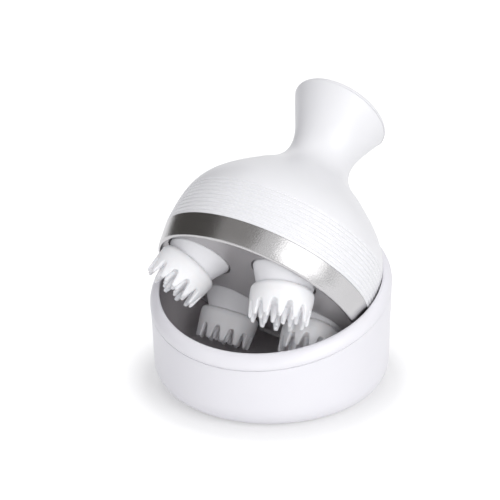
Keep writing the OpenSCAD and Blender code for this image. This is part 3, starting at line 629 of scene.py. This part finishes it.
@dataclass
class Body:
    """The domed shell with its handle, and the silver band. Sizes in millimetres.

    Heights are measured from the band's lower edge. The handles of the outline's three cubic
    curves are as long as pulls says, two for each curve. The spigot is the shell's thin wall
    that the band slides over.
    """

    lying: Lying = field(default_factory=Lying)
    band_low_r: float = 50.3
    band_top_r: float = 51.9
    band_h: float = 11.3
    band_wall: float = 1.4
    band_rows: tuple[float, ...] = (2.0, 5.0, 8.0)
    band_edge: float = 0.2
    body_wall: float = 2.2
    wall_slant: float = 1.06
    shoulder: Point = (30.6, 56.9)
    shoulder_fall: float = 1.13
    neck: Point = (15.8, 77.0)
    top_z: float = 101.4
    top_r: float = 24.5
    flare: float = 0.34
    top_slant: float = 6.95
    top_turn: float = -116.4
    over_top: float = 5.0
    pulls: tuple[float, ...] = (25.6, 22.7, 6.3, 10.8, 9.1, 13.5)
    foot_lean: float = 0.5
    fine_steps: int = 400
    second_row: float = 0.7
    row_gap: float = 0.5
    flare_rows_z: float = 92.0
    flare_rows: int = 12
    groove_rows: int = 8
    groove_count: int = 9
    groove_first: float = 2.0
    groove_pitch: float = 2.15
    groove_w: float = 1.3
    groove_depth: float = 0.6
    lip_round: float = 1.15
    spigot_z: float = 5.0
    spigot_in: float = 3.4
    spigot_out: float = 2.0
    spigot_play: float = 0.1
    shell_foot: float = 1.0
    seam_half: float = 0.05
    seam_bevel: float = 0.15
    turns: int = 288
    settle_steps: int = 30

    def curves(self) -> list[tuple[Point, Point, Point, Point]]:
        """Draws the three cubic curves of the outline, from the band to beyond the top.

        Returns:
            For each curve its start, its two handles and its end, as radius and height.
        """
        end_z = self.top_z + self.over_top
        end = (self.top_r + self.flare * (end_z - self.top_z), end_z)
        fall = Vector((-self.shoulder_fall, 1)).normalized()
        rise = Vector((self.flare, 1)).normalized()
        s, n, p = self.shoulder, self.neck, self.pulls
        return [
            ((self.band_top_r, self.band_h),
             (self.band_top_r + self.foot_lean, self.band_h + p[0]),
             (s[0] - p[1] * fall.x, s[1] - p[1] * fall.y), s),
            (s, (s[0] + p[2] * fall.x, s[1] + p[2] * fall.y), (n[0], n[1] - p[3]), n),
            (n, (n[0], n[1] + p[4]), (end[0] - p[5] * rise.x, end[1] - p[5] * rise.y), end)]

    def outline(self, steps: int = 40) -> list[Point]:
        """Draws the outer outline, without grooves.

        Args:
            steps: The number of steps along each curve.

        Returns:
            Its points, as radius and height.
        """
        points = [self.curves()[0][0]]
        for curve in self.curves():
            points += [cubic(*curve, k / steps) for k in range(1, steps + 1)]
        return points

    def radius_at(self, z: float, outline: Sequence[Point]) -> float:
        """Reads an outline's radius.

        Args:
            z: The height.
            outline: The outline's points, from low to high.

        Returns:
            The radius at that height.
        """
        after = min(max(bisect_left(outline, z, key=lambda p: p[1]), 1), len(outline) - 1)
        (r0, z0), (r1, z1) = outline[after - 1], outline[after]
        return r0 + (r1 - r0) * (z - z0) / (z1 - z0)

    def heights(self) -> list[float]:
        """Lists the heights of the shell's rows below the flare, closest in the grooves.

        Returns:
            The heights, from low to high.
        """
        rows = [self.band_h + self.seam_half, self.band_h + self.second_row]
        half = self.groove_rows // 2
        for k in range(self.groove_count):
            middle = self.band_h + self.groove_first + k * self.groove_pitch
            rows += [middle + self.groove_w / self.groove_rows * j
                     for j in range(-half, half + 1)]
            rows.append(middle + self.groove_pitch / 2)
        return rows + [z for _, z in self.outline()
                       if rows[-1] + self.row_gap < z < self.flare_rows_z]

    def cut_height(self, a: float, radius: Callable[[float], float]) -> float:
        """Finds where the handle's slanted top cuts a surface of revolution.

        Args:
            a: The direction round the massager's axis, in radians.
            radius: The surface's radius at a height.

        Returns:
            The height, found by stepping between the surface and the plane.
        """
        slope = math.tan(math.radians(self.top_slant))
        shift = self.flare * math.tan(math.radians(self.top_slant)) * self.top_r
        off = shift * math.sin(math.radians(self.top_slant))
        height = self.top_z
        for _ in range(self.settle_steps):
            along = radius(height) * math.cos(a - math.radians(self.top_turn))
            height = self.top_z + off - slope * (along + shift)
        return height

    def groove_drop(self, z: float) -> float:
        """Finds how deep the grooves cut.

        Args:
            z: The height.

        Returns:
            The depth at that height, 0 between the grooves.
        """
        first = self.band_h + self.groove_first
        k = round((z - first) / self.groove_pitch)
        if not 0 <= k < self.groove_count:
            return 0.0
        off = abs(z - first - k * self.groove_pitch) / (self.groove_w / 2)
        return self.groove_depth * 0.5 * (1 + math.cos(math.pi * off)) if off < 1 else 0.0

    def sweep(self, name: str, sections: Sequence[Sequence[Point]]) -> bpy.types.Object:
        """Sweeps sections round the massager's axis, as it lies in the cup.

        Args:
            name: The piece's name.
            sections: The section in each direction, as radius and height.

        Returns:
            The object.
        """
        lying = self.lying.matrix()
        return closed_sweep(name, [
            [lying @ point for point in turned(section, a)]
            for section, a in zip(sections, directions(self.turns))])

    def shell(self) -> bpy.types.Object:
        """Makes the shell: grooved dome, neck and flare, with its inner wall.

        The inner wall has a row for every fourth one outside, and every second in the flare.

        Returns:
            The object.
        """
        outline = self.outline(self.fine_steps)
        wall = self.body_wall * self.wall_slant
        lower = [(self.radius_at(z, outline), z) for z in self.heights()]
        outer = [(r - self.groove_drop(z), z) for r, z in lower]
        outer[0] = (outer[0][0] - self.seam_bevel, outer[0][1])
        inner = [(r - wall, z) for r, z in lower[::-4]]
        spigot_low = self.spigot_z + self.seam_bevel
        inner += [(self.band_top_r - self.spigot_in, self.band_h - self.shell_foot),
                  (self.band_top_r - self.spigot_in, spigot_low),
                  (self.band_top_r - self.spigot_out, spigot_low),
                  (self.band_top_r - self.spigot_out, self.band_h + self.seam_half)]
        low, steps = self.flare_rows_z, self.flare_rows
        sections = []
        for a in directions(self.turns):
            cut = self.cut_height(a, lambda z: self.radius_at(z, outline))
            flare = [(self.radius_at(z, outline), z)
                     for z in (low + (cut - low) * j / steps for j in range(steps + 1))]
            sections.append(outer + flare + [(r - wall, z) for r, z in flare[::-2]] + inner)
        return self.sweep("body_shell_skin", sections)

    def band(self) -> bpy.types.Object:
        """Makes the silver band with a rolled lower lip.

        Returns:
            The object.
        """
        low_in = self.band_low_r - self.band_wall
        top_in = self.band_top_r - self.spigot_out + self.spigot_play
        top = self.band_h - self.seam_half
        lip = self.lip_round
        taper = (self.band_top_r - self.band_low_r) / self.band_h
        section = (arc((self.band_low_r - lip, lip), lip, -90, 0, steps=6)
                   + [(self.band_low_r + taper * z, z)
                      for z in (*self.band_rows, self.band_h - self.band_edge)]
                   + [(self.band_top_r - self.band_edge, top), (top_in, top),
                      (top_in, self.spigot_z), (low_in, self.spigot_z),
                      (low_in, 2 * self.band_edge), (low_in + self.band_edge, 0.0)])
        return self.sweep("trim_band_skin", [section] * self.turns)

    def build(self, wardrobe: Wardrobe) -> None:
        """Makes the shell and the band in place of their CAD nodes.

        Args:
            wardrobe: Puts the finishes on them.
        """
        wardrobe.dress_skin(self.shell(), "body_shell", "massager", BODY_ABS)
        wardrobe.dress_skin(self.band(), "trim_band", "massager", BAND_ALU)


@dataclass
class Claw:
    """One silicone claw, whose moulded edges are all rounded. Sizes in millimetres."""

    head: str
    voxel_mm: float = 0.3
    smooth_share: float = 0.5
    smooth_steps: int = 6

    def rounded(self, solid: bpy.types.Object) -> bpy.types.Object:
        """Rounds a copy of a solid, as silicone leaves its mould.

        Args:
            solid: The claw's CAD node, which stays as it is.

        Returns:
            The rounded copy.
        """
        piece = bpy.data.objects.new(f"{solid.name}_skin", solid.data.copy())
        bpy.context.scene.collection.objects.link(piece)
        remesh = piece.modifiers.new("remesh", "REMESH")
        remesh.mode = "VOXEL"
        remesh.voxel_size = self.voxel_mm * MM
        smooth = piece.modifiers.new("smooth", "SMOOTH")
        smooth.factor = self.smooth_share
        smooth.iterations = self.smooth_steps
        evaluated = piece.evaluated_get(bpy.context.evaluated_depsgraph_get())
        piece.data = bpy.data.meshes.new_from_object(evaluated)
        piece.modifiers.clear()
        piece.data.shade_smooth()
        return piece

    def build(self, wardrobe: Wardrobe) -> None:
        """Makes the claw in place of its CAD node.

        Args:
            wardrobe: Puts the finish on it.
        """
        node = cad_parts[f"claw_{self.head}"]
        wardrobe.dress_skin(self.rounded(node), node.name, f"head_{self.head}", CLAW_SILICONE)


# ---- studio ----

@dataclass(frozen=True)
class Lamp:
    """A soft rectangular lamp aimed at the object. Place and size in metres."""

    name: str
    at: Spot
    size: tuple[float, float]
    watts: float


@dataclass(frozen=True)
class Card:
    """A glowing card that only shows in reflections. Place and size in metres."""

    name: str
    at: Spot
    size: tuple[float, float]
    colour: str
    strength: float = 1.0


@dataclass
class Studio:
    """Camera at the photograph's angle, a pale floor, soft lamps and reflection cards.

    The camera's place and aim are in millimetres, in the row's frame, and the rest in metres.
    The floor glows a little for the camera: weakly near the object, as painted shade that
    deepens its shadow there, and more strongly beyond, so that it runs into the white
    background.
    """

    camera_at: Spot = (183.84, -552.17, 296.17)
    camera_aim: Spot = (-16.388, 18.293, 57.461)
    lens_mm: float = 96.58
    sensor_mm: float = 36.0
    clip_m: tuple[float, float] = (0.01, 50.0)
    roll: float = 0.018
    lamp_aim: Spot = (0.0, 0.0, 0.06)
    floor_size: float = 6.0
    floor_roughness: float = 0.9
    glow_share: float = 0.16
    # The glow grows from near to far: the weaker glow near the object is painted shade round
    # it.
    glow_near_m: float = 0.06
    glow_far_m: float = 0.085
    glow_painted_shade: float = 1.9
    glow_high: float = 4.5
    sky_strength: float = 0.47
    lamps: tuple[Lamp, ...] = (
        Lamp("key_lamp", (0.8, -0.62, 0.62), (0.7, 0.6), 4.2),
        Lamp("fill_lamp", (0.26, -0.98, 0.38), (1.5, 0.4), 3.4),
        Lamp("top_lamp", (0.0, 0.0, 1.3), (0.7, 0.6), 2.6))
    cards: tuple[Card, ...] = (
        Card("bright_card", (0.87, -0.57, 0.58), (0.9, 0.75), "ffffff", 2.6),
        Card("side_card", (-0.76, 0.11, 0.45), (1.7, 0.95), "5c5a57"),
        Card("front_card", (-0.25, -0.46, 0.79), (0.7, 0.6), "a6a4a2"))

    def camera(self) -> None:
        """Sets the camera up."""
        data = bpy.data.cameras.new("camera")
        data.lens = self.lens_mm
        data.sensor_width = self.sensor_mm
        data.clip_start, data.clip_end = self.clip_m
        camera = bpy.data.objects.new("camera", data)
        bpy.context.scene.collection.objects.link(camera)
        eye, aim = Vector(self.camera_at) * MM, Vector(self.camera_aim) * MM
        facing = (aim - eye).to_track_quat("-Z", "Y").to_matrix().to_4x4()
        camera.matrix_world = (Matrix.Translation(eye) @ facing
                               @ Matrix.Rotation(-self.roll, 4, "Z"))
        bpy.context.scene.camera = camera

    def floor(self) -> None:
        """Makes the pale floor, which keeps the object's shadow."""
        material = bpy.data.materials.new("floor_paper_white")
        material.use_nodes = True
        tree = material.node_tree
        shader = tree.nodes["Principled BSDF"]
        shader.inputs["Base Color"].default_value = linear("f0f0f0")
        shader.inputs["Roughness"].default_value = self.floor_roughness
        place = add_node(material, "ShaderNodeTexCoord").outputs["Object"]
        # Painted shade: the glow grows with the distance from the object, so the floor is
        # darker round it.
        away = add_node(material, "ShaderNodeVectorMath", {"operation": "LENGTH"}, {0: place})
        strength = add_node(material, "ShaderNodeMapRange", {}, {
            0: away.outputs["Value"], 1: self.glow_near_m, 2: self.glow_far_m,
            3: self.glow_painted_shade, 4: self.glow_high})
        glow = add_node(material, "ShaderNodeEmission", {}, {
            "Color": linear("ffffff"), "Strength": strength.outputs[0]})
        mix = add_node(material, "ShaderNodeMixShader", {}, {
            0: self._seen(material, self.glow_share), 1: shader.outputs[0],
            2: glow.outputs[0]})
        tree.links.new(mix.outputs[0], tree.nodes["Material Output"].inputs["Surface"])
        bpy.ops.mesh.primitive_plane_add(size=self.floor_size, location=(0, 0, 0))
        floor = bpy.context.object
        floor.name = "studio_floor"
        floor.data.materials.append(material)

    def _seen(self, owner: bpy.types.Material | bpy.types.World,
              share: float) -> bpy.types.NodeSocket:
        """Adds a factor for rays from the camera, metal and glass.

        Args:
            owner: The material or world that gets it.
            share: The factor's value for these rays.

        Returns:
            The factor, which is 0 for all other rays.
        """
        path = add_node(owner, "ShaderNodeLightPath")
        first = add_node(owner, "ShaderNodeMath", {"operation": "MAXIMUM"}, {
            0: path.outputs["Is Camera Ray"], 1: path.outputs["Is Glossy Ray"]})
        both = add_node(owner, "ShaderNodeMath", {"operation": "MAXIMUM"}, {
            0: first.outputs[0], 1: path.outputs["Is Transmission Ray"]})
        scaled = add_node(owner, "ShaderNodeMath", {"operation": "MULTIPLY"}, {
            0: both.outputs[0], 1: share})
        return scaled.outputs[0]

    def world(self) -> None:
        """Sets a white background and a soft, even sky light."""
        world = bpy.data.worlds.new("studio_world")
        bpy.context.scene.world = world
        world.use_nodes = True
        tree = world.node_tree
        tree.nodes.clear()
        sky = add_node(world, "ShaderNodeBackground", {}, {
            "Color": linear("f4f4f8"), "Strength": self.sky_strength})
        white = add_node(world, "ShaderNodeBackground", {}, {
            "Color": linear("ffffff"), "Strength": 1.0})
        mix = add_node(world, "ShaderNodeMixShader", {}, {
            0: self._seen(world, 1.0), 1: sky.outputs[0], 2: white.outputs[0]})
        out = add_node(world, "ShaderNodeOutputWorld")
        tree.links.new(mix.outputs[0], out.inputs["Surface"])

    def aimed(self, at: Spot) -> Euler:
        """Works out the turn of a lamp or card that faces the object.

        Args:
            at: Where it hangs, in metres.

        Returns:
            Its rotation.
        """
        return (Vector(self.lamp_aim) - Vector(at)).to_track_quat("-Z", "Y").to_euler()

    def hang_lamp(self, lamp: Lamp) -> None:
        """Hangs up a lamp, which reflections don't show.

        Args:
            lamp: The lamp.
        """
        data = bpy.data.lights.new(lamp.name, "AREA")
        data.shape = "RECTANGLE"
        data.size, data.size_y = lamp.size
        data.energy = lamp.watts
        light = bpy.data.objects.new(lamp.name, data)
        light.location = lamp.at
        light.rotation_euler = self.aimed(lamp.at)
        light.visible_glossy = False
        bpy.context.scene.collection.objects.link(light)

    def hang_card(self, card: Card) -> None:
        """Hangs up a card, which only reflections show.

        Args:
            card: The card.
        """
        material = bpy.data.materials.new(f"{card.name}_paper")
        material.use_nodes = True
        tree = material.node_tree
        tree.nodes.remove(tree.nodes["Principled BSDF"])
        glow = add_node(material, "ShaderNodeEmission", {}, {
            "Color": linear(card.colour), "Strength": card.strength})
        tree.links.new(glow.outputs[0], tree.nodes["Material Output"].inputs["Surface"])
        bpy.ops.mesh.primitive_plane_add(size=1.0, location=card.at)
        sheet = bpy.context.object
        sheet.name = card.name
        sheet.scale = (*card.size, 1.0)
        sheet.rotation_euler = self.aimed(card.at)
        sheet.data.materials.append(material)
        sheet.visible_camera = sheet.visible_diffuse = sheet.visible_shadow = False

    def build(self) -> None:
        """Sets up camera, floor, world, lamps and cards."""
        self.camera()
        self.floor()
        self.world()
        for lamp in self.lamps:
            self.hang_lamp(lamp)
        for card in self.cards:
            self.hang_card(card)
        bpy.context.scene.view_settings.view_transform = "Standard"
        LOG.info("studio: %d lamps, %d cards", len(self.lamps), len(self.cards))


def main() -> None:
    """Builds the studio and dresses the massager and its cup."""
    logging.basicConfig(level=logging.INFO, format="%(message)s")
    Studio().build()
    wardrobe = Wardrobe()
    wardrobe.dress_nodes()
    StorageCup().build(wardrobe)
    Body().build(wardrobe)
    for head in HEAD_NAMES:
        Claw(head).build(wardrobe)


if __name__ == "__main__":
    main()
